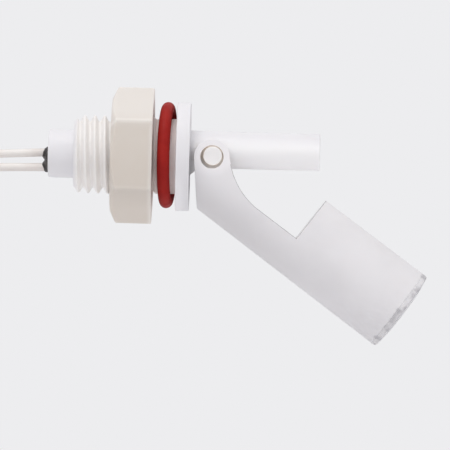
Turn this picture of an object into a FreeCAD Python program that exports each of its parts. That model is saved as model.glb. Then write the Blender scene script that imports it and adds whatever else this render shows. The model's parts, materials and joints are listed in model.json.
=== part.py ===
import FreeCAD, Part
import math
import os

from FreeCAD import Placement, Rotation, Vector

# Side-mounted float level switch, in millimetres.
# X runs along the thread axis, from the leads (-X) to the float (+X), and Z is up.
# The origin is the centre of the flange's sealing face, which seats against the tank wall.
# The float is drawn in its own frame, level with the stem, and then swung down to where it hangs.

# Body moulding: cable boss, threaded barrel, neck, flange and stem
thread_r = 7.9
thread_depth = 1.2
thread_lead_in = 0.9
thread_length = 17.1
neck_r = 7.6
neck_length = 3.6
boss_r = 4.9
boss_length = 5.2
boss_edge = 0.3
cable_bore_r = 3.9
cable_bore_floor = 1.5
flange_r = 11.0
flange_thickness = 2.75
flange_edge = 0.25
stem_r = 3.8
stem_length = 26.3
stem_rise = 1.6
stem_bore_r = 2.4
stem_tip_wall = 1.45
stem_edge = 0.25

# Gusset under the stem's root, which is also the float's lower stop
gusset_reach = 1.65
gusset_drop = 1.45
gusset_half_width = 3.0

# Hinge: two trunnions on the stem, in two holes in the float's cheeks
pivot_out = 4.65
pivot_rise = 0.2
trunnion_r = 1.9
trunnion_recess = 0.15
trunnion_edge = 0.3
hole_r = 2.35
hole_drop = 0.25
hang_deg = 35.7

# Lock nut
nut_wall = 4.0
nut_thickness = 8.4
nut_from_flange = 4.75
nut_bore_gap = 0.1
nut_chamfer_in = 0.5
nut_chamfer_deg = 25.0
nut_lead_in = 0.8

# Seal ring, loose on the neck and leaning a little
ring_section_r = 1.275
ring_mean_r = 9.45
ring_from_flange = 1.95
ring_lean_deg = 3.8

# Float shell, a drafted round with a recess for the stem
float_rear_r = 8.5
float_end_r = 8.75
float_axis_drop = 1.85
float_length = 49.4
float_wall = 1.3
cheek_r = 3.6
sweep_r = 14.8
arm_floor = 3.0
step_out = 23.4
step_lean = 0.25
heel_out = 3.75
heel_drop = 10.3
slot_gap = 0.45
stem_gap = 0.35
stop_gap = 0.15

# End cap of the float
cap_edge = 1.1
cap_crown = 0.4
cap_slope = 3.0
spigot_length = 2.0
spigot_gap = 0.05

# Magnet in the float's arm
magnet_r = 2.0
magnet_length = 10.0
magnet_out = 9.0
pocket_gap = 0.05

# Reed switch, low in the stem so that it lies near the magnet
glass_r = 1.1
glass_wall = 0.25
glass_length = 14.0
glass_seal = 2.2
glass_taper = 0.8
glass_tip_gap = 2.1
glass_clear = 0.45
blade_thickness = 0.3
blade_width = 1.2
blade_gap = 0.1
blade_overlap = 1.2
leg_r = 0.25
leg_stub = 0.5
fold_rise = 2.2
leg_reach = 7.5

# Insulation and joints between the reed's legs and the leads
sleeve_wall = 0.25
sleeve_gap = 0.02
sleeve_inset = 0.3
sleeve_from_shrink = 0.4
joint_r = 0.69
joint_from_leg_end = 0.6
joint_length = 3.0
joint_leg_offset = 0.33
joint_core_offset = 0.29
shrink_over = 2.0
shrink_length = 6.6
shrink_wall = 0.22

# Leads
lead_r = 0.85
core_r = 0.35
core_beside_leg = 4.0
core_bare = 3.0
level_run = 7.5
upper_bend_in = 6.4
lower_bend_in = 7.9
tail_length = 11.0
tinned_length = 6.0

# Potting in the cable end, with its mound round the leads
potting_depth = 14.0
mound_r = 2.75
mound_top_r = 1.9
mound_height = 1.0
wick_r = 1.35
wick_height = 1.3
wick_edge = 0.05
exit_z_upper = 0.12
exit_z_lower = -2.88

# Coil of both leads, hanging below their bend
coil_x = -49.5
turn_r = 9.45
turns_across = 3
turn_gap = 0.05
coil_edge = 0.5
knot_z = -16.6
join_deg = 135.0

# Tie round the coil
tie_deg = 157.0
tie_width = 2.6
tie_thickness = 0.6
tie_gap = 0.05
tie_round = 0.5

# Worked out from the sizes above
barrel_end = -(neck_length + thread_length)
cable_end = barrel_end - boss_length
stem_tip = flange_thickness + stem_length
stem_bottom = stem_rise - stem_r
pivot_x = flange_thickness + pivot_out
slot_half_width = stem_r + slot_gap
nut_flat_r = thread_r + nut_bore_gap + nut_wall
float_reach = float_rear_r + float_end_r
stem_bore_end = stem_tip - stem_tip_wall
glass_z = stem_rise - stem_bore_r + glass_clear + glass_r
return_z = glass_z + fold_rise
glass_end = stem_bore_end - glass_tip_gap
glass_start = glass_end - glass_length
leg_end = glass_start - leg_reach
joint_start = leg_end + joint_from_leg_end
shrink_start = joint_start - shrink_over
sleeve_back = shrink_start + shrink_length + sleeve_from_shrink
core_end = leg_end + core_beside_leg
jacket_end = leg_end - core_bare
level_end = jacket_end - level_run
coil_half_section = turns_across * (lead_r + turn_gap)
coil_outer_r = turn_r + coil_half_section
coil_inner_r = turn_r - coil_half_section
outer_turn_r = coil_outer_r - lead_r - turn_gap
coil_half_width = 4 * (lead_r + turn_gap)
join_angle = math.radians(join_deg)
coil_z = knot_z - outer_turn_r / math.sin(join_angle)
near_layer = lead_r + turn_gap
far_layer = 3 * near_layer
mitred = 1
float_swing = Placement(Vector(pivot_x, 0, pivot_rise), Rotation(Vector(0, 1, 0), hang_deg))

os.makedirs("parts", exist_ok=True)


def save(shape, node):
    shape.exportStep("parts/" + node + ".step")


def cylinder_x(radius, start, length, y=0.0, z=0.0):
    return Part.makeCylinder(radius, length, Vector(start, y, z), Vector(1, 0, 0))


def outline_face(points):
    return Part.Face(Part.makePolygon(points + [points[0]]))


def revolved(points, y=0.0, z=0.0):
    """Turn an outline of (along X, radius) points about an axis parallel to X."""
    outline = [Vector(along, y, z + radius) for along, radius in points]
    return outline_face(outline).revolve(Vector(0, y, z), Vector(1, 0, 0), 360)


def extruded_y(points, half_width):
    """Thicken an outline of (X, Z) points to both sides of the plane Y = 0."""
    outline = [Vector(x, -half_width, z) for x, z in points]
    return outline_face(outline).extrude(Vector(0, 2 * half_width, 0))


def float_radius(out):
    """Outside radius of the drafted float at a distance from the hinge."""
    return float_rear_r + (float_end_r - float_rear_r) * out / float_length


def barrel():
    """Boss, threaded barrel at its crest size, neck and flange, turned about the thread axis."""
    outline = [
        (cable_end, 0),
        (cable_end, boss_r - boss_edge),
        (cable_end + boss_edge, boss_r),
        (barrel_end, boss_r),
        (barrel_end, thread_r - thread_depth),
        (barrel_end + thread_lead_in, thread_r),
        (-neck_length, thread_r),
        (-neck_length, neck_r),
        (0, neck_r),
        (0, flange_r - flange_edge),
        (flange_edge, flange_r),
        (flange_thickness - flange_edge, flange_r),
        (flange_thickness, flange_r - flange_edge),
        (flange_thickness, 0),
    ]
    return revolved(outline)


def stem():
    outline = [
        (0, 0),
        (0, stem_r),
        (stem_tip - stem_edge, stem_r),
        (stem_tip, stem_r - stem_edge),
        (stem_tip, 0),
    ]
    return revolved(outline, z=stem_rise)


def gusset():
    outline = [
        (flange_thickness - 1, stem_bottom - gusset_drop),
        (flange_thickness, stem_bottom - gusset_drop),
        (flange_thickness + gusset_reach, stem_bottom),
        (flange_thickness + gusset_reach, stem_rise),
        (flange_thickness - 1, stem_rise),
    ]
    return extruded_y(outline, gusset_half_width)


def trunnion(side):
    """One hinge pin, from inside the stem's wall out to just under the cheek's surface."""
    reach = math.sqrt(float_rear_r ** 2 - float_axis_drop ** 2) - trunnion_recess
    root = stem_bore_r + 0.4
    pin = Part.makeCylinder(trunnion_r, reach - root, Vector(0, root, 0), Vector(0, 1, 0))
    tip = [edge for edge in pin.Edges if min(v.Y for v in edge.Vertexes) > reach - 0.01]
    pin = pin.makeChamfer(trunnion_edge, tip)
    if side < 0:
        pin.rotate(Vector(0, 0, 0), Vector(0, 0, 1), 180)
    pin.translate(Vector(pivot_x, 0, pivot_rise))
    return pin


def switch_body():
    solid = barrel().fuse([stem(), gusset(), trunnion(1), trunnion(-1)])
    bore_end = flange_thickness - cable_bore_floor
    cable_bore = cylinder_x(cable_bore_r, cable_end, bore_end - cable_end)
    stem_bore = cylinder_x(stem_bore_r, 0, stem_bore_end, z=stem_rise)
    return solid.cut(cable_bore).cut(stem_bore).removeSplitter()


def lock_nut():
    """Hexagon with corners up and down, dressed by a cone on its cable side only."""
    left = -(nut_from_flange + nut_thickness)
    corner_r = nut_flat_r / math.cos(math.radians(30))
    chamfer_r = nut_flat_r - nut_chamfer_in
    corners = []
    for turn in range(6):
        angle = math.radians(90 + 60 * turn)
        corners.append(Vector(left, corner_r * math.cos(angle), corner_r * math.sin(angle)))
    hexagon = outline_face(corners).extrude(Vector(nut_thickness, 0, 0))
    over = corner_r + 1
    slope = (over - chamfer_r) * math.tan(math.radians(nut_chamfer_deg))
    dressing = revolved([
        (left, 0),
        (left, chamfer_r),
        (left + slope, over),
        (-nut_from_flange, over),
        (-nut_from_flange, 0),
    ])
    bore_r = thread_r + nut_bore_gap
    bore = revolved([
        (left, 0),
        (left, bore_r + nut_lead_in / 2),
        (left + nut_lead_in, bore_r),
        (-nut_from_flange - nut_lead_in, bore_r),
        (-nut_from_flange, bore_r + nut_lead_in / 2),
        (-nut_from_flange, 0),
    ])
    return hexagon.common(dressing).cut(bore)


def seal_ring():
    ring = Part.makeTorus(ring_mean_r, ring_section_r, Vector(0, 0, 0), Vector(1, 0, 0))
    ring.rotate(Vector(0, 0, 0), Vector(0, 0, 1), -ring_lean_deg)
    ring.translate(Vector(-ring_from_flange, 0, 0))
    return ring


def side_outline():
    """Side view of the float: heel, cheek round, concave sweep, arm, step and top, as one face."""
    low = -(float_axis_drop + float_reach)
    high = float_end_r
    hole = Vector(0, 0, -hole_drop)
    centre_z = sweep_r - arm_floor
    centre_x = math.sqrt((sweep_r + cheek_r) ** 2 - (centre_z - hole.z) ** 2)
    sweep_centre = Vector(centre_x, 0, centre_z)
    join = hole + (sweep_centre - hole) * (cheek_r / (sweep_r + cheek_r))
    heel = Vector(heel_out, 0, -heel_drop)
    to_heel = heel - hole
    bevel_angle = math.atan2(to_heel.z, to_heel.x) - math.acos(cheek_r / to_heel.Length)
    touch = hole + Vector(math.cos(bevel_angle), 0, math.sin(bevel_angle)) * cheek_r
    foot = heel + (heel - touch) * ((heel.z - low) / (touch.z - heel.z))
    floor_start = Vector(centre_x, 0, -arm_floor)
    step_foot = Vector(step_out, 0, -arm_floor)
    step_top = Vector(step_out + step_lean, 0, high)
    end_top = Vector(float_length - cap_edge, 0, high)
    end_foot = Vector(float_length - cap_edge, 0, low)
    mean = (sweep_centre - join).normalize() + (sweep_centre - floor_start).normalize()
    sweep_mid = sweep_centre - mean.normalize() * sweep_r
    crown = hole + (((touch - hole) + (join - hole)).normalize() * cheek_r)
    edges = [
        Part.LineSegment(foot, touch).toShape(),
        Part.Arc(touch, crown, join).toShape(),
        Part.Arc(join, sweep_mid, floor_start).toShape(),
        Part.LineSegment(floor_start, step_foot).toShape(),
        Part.LineSegment(step_foot, step_top).toShape(),
        Part.LineSegment(step_top, end_top).toShape(),
        Part.LineSegment(end_top, end_foot).toShape(),
        Part.LineSegment(end_foot, foot).toShape(),
    ]
    return Part.Face(Part.Wire(edges)), centre_x


def drafted_round():
    start = -2 * cheek_r
    end = float_length
    outline = [(start, 0), (start, float_radius(start)), (end, float_radius(end)), (end, 0)]
    return revolved(outline, z=-float_axis_drop)


def stem_slot(front):
    """Slot between the cheeks, down to the arm's floor."""
    back = -2 * cheek_r
    corner = Vector(back, -slot_half_width, -arm_floor)
    return Part.makeBox(front - back, 2 * slot_half_width, arm_floor + float_end_r, corner)


def stop_relief():
    """Room under the slot for the stem and its gusset when the float hangs, with the stop face."""
    under_stem = stem_bottom - pivot_rise - stem_gap
    face = Vector(gusset_reach, 0, gusset_drop).normalize()
    away = Vector(face.z, 0, -face.x)
    on_stop = Vector(-pivot_out, 0, stem_bottom - pivot_rise - gusset_drop) + away * stop_gap
    meet = on_stop + face * ((under_stem - on_stop.z) / face.z)
    far = on_stop - face * (2 * gusset_drop)
    outline = [
        (cheek_r, 0),
        (cheek_r, under_stem),
        (meet.x, under_stem),
        (far.x, far.z),
        (far.x - pivot_out, far.z),
        (far.x - pivot_out, 0),
    ]
    relief = extruded_y(outline, slot_half_width)
    relief.rotate(Vector(0, 0, 0), Vector(0, 1, 0), -hang_deg)
    return relief


def magnet_axis():
    return -(arm_floor + float_wall + magnet_r)


def chamber_radius():
    return float_radius(step_out) - float_wall


def float_shell():
    side, sweep_end = side_outline()
    side.translate(Vector(0, -float_reach, 0))
    solid = side.extrude(Vector(0, 2 * float_reach, 0)).common(drafted_round())
    solid = solid.cut(stem_slot(sweep_end)).cut(stop_relief())
    side_end = Vector(0, -float_reach, -hole_drop)
    holes = Part.makeCylinder(hole_r, 2 * float_reach, side_end, Vector(0, 1, 0))
    chamber_start = step_out + step_lean + float_wall
    chamber = cylinder_x(chamber_radius(), chamber_start, float_length, z=-float_axis_drop)
    pocket_r = magnet_r + pocket_gap
    pocket = cylinder_x(pocket_r, magnet_out, chamber_start - magnet_out + 1, z=magnet_axis())
    solid = solid.cut([holes, chamber, pocket])
    solid.Placement = float_swing.multiply(solid.Placement)
    return solid


def float_end_cap():
    """Crowned disc with a spigot, set into the open end of the shell."""
    start = float_length - cap_edge
    rim = float_radius(start)
    spigot_r = chamber_radius() - spigot_gap
    cap = revolved([
        (start - spigot_length, 0),
        (start - spigot_length, spigot_r),
        (start, spigot_r),
        (start, rim),
        (float_length - cap_crown, rim),
        (float_length, rim - cap_slope),
        (float_length, 0),
    ], z=-float_axis_drop)
    cap.Placement = float_swing.multiply(cap.Placement)
    return cap


def float_magnet():
    magnet = cylinder_x(magnet_r, magnet_out, magnet_length, z=magnet_axis())
    magnet.Placement = float_swing.multiply(magnet.Placement)
    return magnet


def blade(start, end, rise):
    """Flat contact blade inside the glass, its middle at a height above the glass axis."""
    corner = Vector(start, -blade_width / 2, glass_z + rise - blade_thickness / 2)
    return Part.makeBox(end - start, blade_width, blade_thickness, corner)


def reed_blade_rear():
    """Lower blade and its straight leg."""
    seal = glass_start + glass_seal
    tip = (glass_start + glass_end + blade_overlap) / 2
    leg = cylinder_x(leg_r, leg_end, seal - leg_end, z=glass_z)
    return leg.fuse(blade(seal - leg_stub, tip, -(blade_thickness + blade_gap) / 2))


def reed_blade_front():
    """Upper blade, whose leg is folded back over the glass."""
    seal = glass_end - glass_seal
    tip = (glass_start + glass_end - blade_overlap) / 2
    fold_x = glass_end + leg_stub
    path = Part.makePolygon([
        Vector(seal, 0, glass_z),
        Vector(fold_x, 0, glass_z),
        Vector(fold_x + fold_rise / 2, 0, glass_z + fold_rise / 2),
        Vector(fold_x, 0, return_z),
        Vector(leg_end, 0, return_z),
    ])
    ring = Part.Wire(Part.Circle(Vector(seal, 0, glass_z), Vector(1, 0, 0), leg_r).toShape())
    leg = path.makePipeShell([ring], True, False, mitred)
    return leg.fuse(blade(tip, seal + leg_stub, (blade_thickness + blade_gap) / 2))


def reed_glass(blades):
    """Sealed tube, drawn in round the two legs at its ends."""
    outside = revolved([
        (glass_start, 0),
        (glass_start, glass_r - glass_taper / 2),
        (glass_start + glass_taper, glass_r),
        (glass_end - glass_taper, glass_r),
        (glass_end, glass_r - glass_taper / 2),
        (glass_end, 0),
    ], z=glass_z)
    room = glass_length - 2 * glass_seal
    inside = cylinder_x(glass_r - glass_wall, glass_start + glass_seal, room, z=glass_z)
    return outside.cut([inside] + blades)


def return_sleeve():
    """Insulating sleeve over the folded leg."""
    length = glass_end - sleeve_inset - sleeve_back
    inner = leg_r + sleeve_gap
    outer = cylinder_x(inner + sleeve_wall, sleeve_back, length, z=return_z)
    return outer.cut(cylinder_x(inner, sleeve_back, length, z=return_z))


def core_z(leg_z):
    return leg_z - joint_leg_offset - joint_core_offset


def lead_core(leg_z):
    """Bare strands at the inner end of a lead, laid along the reed's leg."""
    return cylinder_x(core_r, jacket_end, core_end - jacket_end, z=core_z(leg_z))


def solder_joint(leg_z, wires):
    """Solder round a leg and the strands beside it."""
    return cylinder_x(joint_r, joint_start, joint_length, z=leg_z - joint_leg_offset).cut(wires)


def joint_sleeve(leg_z):
    """Shrunk sleeve over a joint."""
    middle = leg_z - joint_leg_offset
    inner = joint_r + sleeve_gap
    outer = cylinder_x(inner + shrink_wall, shrink_start, shrink_length, z=middle)
    return outer.cut(cylinder_x(inner, shrink_start, shrink_length, z=middle))


def swept_round(path, radius):
    """Round tube along a smooth path of lines and arcs."""
    first = path.OrderedEdges[0]
    start = first.valueAt(first.FirstParameter)
    heading = first.tangentAt(first.FirstParameter)
    ring = Part.Wire(Part.Circle(start, heading, radius).toShape())
    return path.makePipeShell([ring], True, False)


def rounded_path(points, name):
    """Straight runs joined by tangent arcs, each as large as its two runs allow."""
    edges = []
    start = points[0]
    for before, corner, after in zip(points, points[1:], points[2:]):
        back = before - corner
        ahead = after - corner
        half_turn = (math.pi - back.getAngle(ahead)) / 2
        cut = 0.45 * min(back.Length, ahead.Length)
        radius = cut / math.tan(half_turn)
        back.normalize()
        ahead.normalize()
        leave = corner + back * cut
        arrive = corner + ahead * cut
        inward = (back + ahead).normalize()
        middle = corner + inward * (radius / math.cos(half_turn) - radius)
        edges.append(Part.LineSegment(start, leave).toShape())
        edges.append(Part.Arc(leave, middle, arrive).toShape())
        print(name, "arc radius", round(radius, 1), "is", round(radius / (2 * lead_r), 1), "diameters")
        start = arrive
    edges.append(Part.LineSegment(start, points[-1]).toShape())
    return Part.Wire(edges)


def lead_tube(points, name):
    path = rounded_path(points, name)
    tube = swept_round(path, lead_r)
    expected = math.pi * lead_r ** 2 * path.Length
    print(name, "length", round(path.Length, 1), "volume share", round(tube.Volume / expected, 4))
    return tube


def coil_join(side):
    """Where a lead's straight run meets its outermost turn."""
    return Vector(
        coil_x + outer_turn_r * math.cos(join_angle),
        side * near_layer,
        coil_z + outer_turn_r * math.sin(join_angle),
    )


def upper_route():
    return [
        Vector(jacket_end, 0, core_z(return_z)),
        Vector(level_end, 0, core_z(return_z)),
        Vector(cable_end + upper_bend_in, 0, 0.52),
        Vector(-42.3, 0.1, -0.75),
        Vector(coil_x, 0.55, -8.6),
        Vector(coil_x, near_layer, knot_z),
        coil_join(1),
    ]


def lower_route():
    return [
        Vector(jacket_end, 0, core_z(glass_z)),
        Vector(level_end, 0, core_z(glass_z)),
        Vector(cable_end + lower_bend_in, 0, -2.62),
        Vector(-40.0, -0.1, -3.25),
        Vector(coil_x + 2.2, -0.75, -10.9),
        Vector(coil_x, -near_layer, knot_z),
        coil_join(-1),
    ]


def lead_coil():
    """Outer shape of the wound leads, a plain ring with broken edges."""
    low = coil_inner_r
    high = coil_outer_r
    wide = coil_half_width
    section = [
        (low, coil_edge - wide),
        (low + coil_edge, -wide),
        (high - coil_edge, -wide),
        (high, coil_edge - wide),
        (high, wide - coil_edge),
        (high - coil_edge, wide),
        (low + coil_edge, wide),
        (low, wide - coil_edge),
    ]
    outline = [Vector(coil_x + radius, y, coil_z) for radius, y in section]
    return outline_face(outline).revolve(Vector(coil_x, 0, coil_z), Vector(0, 1, 0), 360)


def lead_tail(side, coil):
    """End of a lead, leaving the coil's last turn straight down."""
    top = Vector(coil_x - outer_turn_r, side * far_layer, coil_z)
    tube = Part.makeCylinder(lead_r, tail_length, top, Vector(0, 0, -1))
    return tube.cut(coil)


def tinned_end(side):
    top = Vector(coil_x - outer_turn_r, side * far_layer, coil_z - tail_length)
    return Part.makeCylinder(core_r, tinned_length, top, Vector(0, 0, -1))


def coil_tie():
    """Closed band round the coil's section."""
    inner = math.sqrt(coil_inner_r ** 2 - (tie_width / 2) ** 2) - tie_gap
    outer = coil_outer_r + tie_gap
    side = coil_half_width + tie_gap
    hole = Part.makeBox(outer - inner, 2 * side, tie_width, Vector(inner, -side, -tie_width / 2))
    edge = tie_thickness
    corner = Vector(inner - edge, -side - edge, -tie_width / 2)
    band = Part.makeBox(outer - inner + 2 * edge, 2 * (side + edge), tie_width, corner)
    upright = [e for e in band.Edges if abs(e.Vertexes[0].Z - e.Vertexes[1].Z) > tie_width / 2]
    band = band.makeFillet(tie_round, upright).cut(hole)
    band.rotate(Vector(0, 0, 0), Vector(0, 1, 0), -tie_deg)
    band.translate(Vector(coil_x, 0, coil_z))
    return band


def potting(leads):
    """Resin plug in the cable end, raised in a mound where it wicks up the leads."""
    resin = cylinder_x(cable_bore_r, cable_end, potting_depth)
    outward = Vector(-1, 0, 0)
    middle = Vector(cable_end, 0, (exit_z_upper + exit_z_lower) / 2)
    resin = resin.fuse(Part.makeCone(mound_r, mound_top_r, mound_height, middle, outward))
    for z in (exit_z_upper, exit_z_lower):
        foot = Vector(cable_end, 0, z)
        resin = resin.fuse(Part.makeCone(wick_r, lead_r + wick_edge, wick_height, foot, outward))
    return resin.cut(leads)


rear = reed_blade_rear()
front = reed_blade_front()
core_upper = lead_core(return_z)
core_lower = lead_core(glass_z)
coil = lead_coil()
wire_upper = lead_tube(upper_route(), "lead_wire_upper").cut(coil)
wire_lower = lead_tube(lower_route(), "lead_wire_lower").cut(coil)

save(switch_body(), "switch_body")
save(lock_nut(), "lock_nut")
save(seal_ring(), "seal_ring")
save(float_shell(), "float_shell")
save(float_end_cap(), "float_end_cap")
save(float_magnet(), "float_magnet")
save(reed_glass([rear, front]), "reed_glass")
save(rear, "reed_blade_rear")
save(front, "reed_blade_front")
save(return_sleeve(), "return_sleeve")
save(solder_joint(return_z, [front, core_upper]), "solder_joint_upper")
save(solder_joint(glass_z, [rear, core_lower]), "solder_joint_lower")
save(joint_sleeve(return_z), "joint_sleeve_upper")
save(joint_sleeve(glass_z), "joint_sleeve_lower")
save(core_upper, "lead_core_upper")
save(core_lower, "lead_core_lower")
save(potting([wire_upper, wire_lower]), "potting")
save(wire_upper, "lead_wire_upper")
save(wire_lower, "lead_wire_lower")
save(coil, "lead_coil")
save(coil_tie(), "coil_tie")
save(lead_tail(1, coil), "lead_tail_upper")
save(lead_tail(-1, coil), "lead_tail_lower")
save(tinned_end(1), "tinned_end_upper")
save(tinned_end(-1), "tinned_end_lower")
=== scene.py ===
import json
import math

import bmesh
import bpy
from mathutils import Matrix, Vector, noise


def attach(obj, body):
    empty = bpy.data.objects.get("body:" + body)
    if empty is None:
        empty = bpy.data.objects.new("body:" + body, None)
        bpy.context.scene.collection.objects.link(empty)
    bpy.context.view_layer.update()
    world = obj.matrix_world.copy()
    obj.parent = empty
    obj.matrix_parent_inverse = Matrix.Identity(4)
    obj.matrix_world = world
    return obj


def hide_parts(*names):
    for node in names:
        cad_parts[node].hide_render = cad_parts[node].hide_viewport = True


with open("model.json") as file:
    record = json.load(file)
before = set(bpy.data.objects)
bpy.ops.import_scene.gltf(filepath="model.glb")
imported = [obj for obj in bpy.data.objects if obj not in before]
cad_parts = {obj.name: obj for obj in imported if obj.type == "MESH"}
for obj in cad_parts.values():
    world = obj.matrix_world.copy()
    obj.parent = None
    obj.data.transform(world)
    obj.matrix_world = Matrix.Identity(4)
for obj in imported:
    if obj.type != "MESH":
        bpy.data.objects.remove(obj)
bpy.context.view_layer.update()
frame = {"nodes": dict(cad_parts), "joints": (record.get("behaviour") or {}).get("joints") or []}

nodes = frame["nodes"]
joints = {joint["name"]: joint for joint in frame["joints"]}
mm = 0.001

# The body moulding. X runs along the thread axis, from the leads to the float, and Z is up
cable_end = -25.9 * mm
barrel_end = -20.7 * mm
neck_start = -3.6 * mm
flange_thickness = 2.75 * mm
boss_r = 4.9 * mm
neck_r = 7.6 * mm
flange_r = 11.0 * mm
cable_bore_r = 3.9 * mm
cable_bore_stop = 1.25 * mm
stem_r = 3.8 * mm
stem_tip = 29.05 * mm
stem_rise = 1.6 * mm
stem_draft = 0.06 * mm
stem_bore_r = 2.4 * mm
stem_bore_stop = 27.6 * mm
gusset_reach = 1.65 * mm
gusset_drop = 1.45 * mm
gusset_half_width = 3.0 * mm
trunnion_r = 1.9 * mm
trunnion_recess = 0.15 * mm
trunnion_root = 2.6 * mm

# The thread, right-handed and soft at its crests and roots
thread_r = 7.9 * mm
thread_pitch = 2.0 * mm
thread_depth = 1.2 * mm
crest_at_top = -16.75 * mm
crest_share = 0.12
root_share = 0.10
lead_in_r = 6.7 * mm
lead_in_slope = 1.33
lead_in_blend = 0.35 * mm
run_out = 1.6 * mm
thread_step = 0.1 * mm
thread_gap = 0.12 * mm

# The lock nut
nut_left = -13.15 * mm
nut_right = -4.75 * mm
nut_half_flats = 12.0 * mm
nut_corner_round = 0.45 * mm
nut_apex = nut_half_flats / math.cos(math.radians(30))
nut_flat_reach = nut_apex / 2 - nut_corner_round * math.tan(math.radians(30))
nut_flat_angle = math.atan(nut_flat_reach / nut_half_flats)
nut_face_r = 11.5 * mm
nut_cone_slope = 1 / math.tan(math.radians(25))
nut_edge_blend = 0.5 * mm
nut_edge = 0.3 * mm
nut_dressed = 1.6 * mm
nut_lead_in = 0.8 * mm
nut_lead_in_slope = 0.6
nut_lead_in_depth = 0.6 * mm

# The seal ring
ring_section_r = 1.275 * mm
ring_mean_r = 9.5 * mm
ring_x = -1.88 * mm
ring_rise = 0.25 * mm
ring_lean = math.radians(3.8)

# The float, in its own frame at the hinge
hinge = Vector(joints["float_hinge"]["pos_m"])
hang = math.radians(joints["float_hinge"]["range_deg"][1])
float_frame = Matrix.Translation(hinge) @ Matrix.Rotation(hang, 4, "Y")
float_axis_drop = 1.85 * mm
float_rear_r = 8.5 * mm
float_draft = 0.25 * mm
float_length = 49.4 * mm
float_taper = float_draft / float_length
float_wall = 1.3 * mm
cheek_r = 3.6 * mm
hole_r = 2.35 * mm
hole_drop = 0.25 * mm
sweep_r = 14.8 * mm
arm_floor = 3.0 * mm
step_out = 23.4 * mm
step_lean = 0.25 * mm
heel = Vector((3.75, -10.3)) * mm
slot_gap = 0.45 * mm
slot_half_width = stem_r + slot_gap
stem_gap = 0.35 * mm
stop_gap = 0.15 * mm
chamber_start = step_out + step_lean + float_wall
chamber_r = float_rear_r + float_taper * step_out - float_wall
magnet_r = 2.0 * mm
pocket_start = 9.0 * mm
pocket_r = magnet_r + 0.05 * mm
pocket_height = -(arm_floor + float_wall + magnet_r)
cap_edge = 1.1 * mm
cap_start = float_length - cap_edge
cap_crown = 0.4 * mm
cap_slope = 3.0 * mm
float_end_r = float_rear_r + float_taper * cap_start
spigot_start = cap_start - 2.0 * mm
spigot_r = chamber_r - 0.05 * mm

# The leads and their coil
lead_r = 0.85 * mm
core_r = 0.35 * mm
exit_upper = Vector((cable_end, 0, 0.12 * mm))
exit_lower = Vector((cable_end, 0, -2.88 * mm))
near_layer = lead_r + 0.05 * mm
far_layer = 3 * near_layer
turn_step = 2 * near_layer
outer_turn_r = 11.25 * mm
coil_start = math.radians(135)
knot_z = -16.6 * mm
coil_x = -49.5 * mm
coil_z = knot_z - outer_turn_r / math.sin(coil_start)
tail_length = 11.0 * mm
tinned_length = 6.0 * mm

# The camera, square to the thread axis and rolled as the photograph is
photo_px = 450
px_per_mm = 4.93
flange_px = (176.5, 156.6)
axis_tilt = math.radians(1.6)
camera_distance = 0.8
camera_yaw = math.radians(0.3)
sensor_width = 36.0

background = (0.847, 0.847, 0.863)


def linked(name, data):
    made = bpy.data.objects.new(name, data)
    bpy.context.scene.collection.objects.link(made)
    return made


def make_camera():
    """Camera at the photograph's angle, with the photograph's centre on its axis."""
    across = (photo_px / 2 - flange_px[0]) / px_per_mm * mm
    down = (photo_px / 2 - flange_px[1]) / px_per_mm * mm
    centre = Vector((
        across * math.cos(axis_tilt) + down * math.sin(axis_tilt),
        0,
        across * math.sin(axis_tilt) - down * math.cos(axis_tilt),
    ))
    roll = Matrix.Rotation(-axis_tilt, 4, "Y")
    yaw = Matrix.Rotation(camera_yaw, 4, "Z")
    upright = Matrix.Rotation(math.radians(90), 4, "X")
    back = Matrix.Translation((0, 0, camera_distance))
    camera = linked("camera", bpy.data.cameras.new("camera"))
    camera.matrix_world = Matrix.Translation(centre) @ roll @ yaw @ upright @ back
    camera.data.sensor_width = sensor_width
    camera.data.lens = sensor_width * px_per_mm / mm * camera_distance / photo_px
    bpy.context.scene.camera = camera


def route_points(points):
    return [Vector(point) * mm for point in points]


def coil_points(side):
    """One lead's turns: inwards in the near layer, then outwards in the far one, and down."""
    points = []
    per_turn = 16
    turns = 4.125
    layer_change = 1.9
    layer_blend = 0.2
    for k in range(int(turns * per_turn) + 1):
        turned = k / per_turn
        inward = turned if turned < 2 else max(4 - turned, 0)
        radius = outer_turn_r - turn_step * inward
        share = min(max((turned - layer_change) / layer_blend, 0), 1)
        layer = near_layer + (far_layer - near_layer) * share
        angle = coil_start + 2 * math.pi * turned
        points.append(Vector((
            coil_x + radius * math.cos(angle),
            side * layer,
            coil_z + radius * math.sin(angle),
        )))
    for drop in (0.35, 0.7, 1.0):
        points.append(Vector((coil_x - outer_turn_r, side * far_layer, coil_z - drop * tail_length)))
    return points


def make_lead(name, points, covers, material):
    curve = bpy.data.curves.new(name, "CURVE")
    curve.dimensions = "3D"
    curve.bevel_depth = lead_r
    curve.bevel_resolution = 5
    curve.resolution_u = 10
    curve.use_fill_caps = True
    spline = curve.splines.new("NURBS")
    spline.points.add(len(points) - 1)
    for point, place in zip(spline.points, points):
        point.co = (*place, 1)
    spline.order_u = 3
    spline.use_endpoint_u = True
    curve.materials.append(material)
    lead = linked(name, curve)
    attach(lead, "switch_body")
    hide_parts(*covers)


def on_x(along, radius, turn, height=0.0):
    """Point round an axis parallel to X, turned from the top through -Y."""
    return Vector((along, -radius * math.sin(turn), height + radius * math.cos(turn)))


def around(height):
    """Placing function for a lathe profile turned round an axis parallel to X."""
    return lambda item, turn: on_x(*item, turn, height)


def full_turn(steps):
    return [2 * math.pi * k / steps for k in range(steps)]


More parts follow.
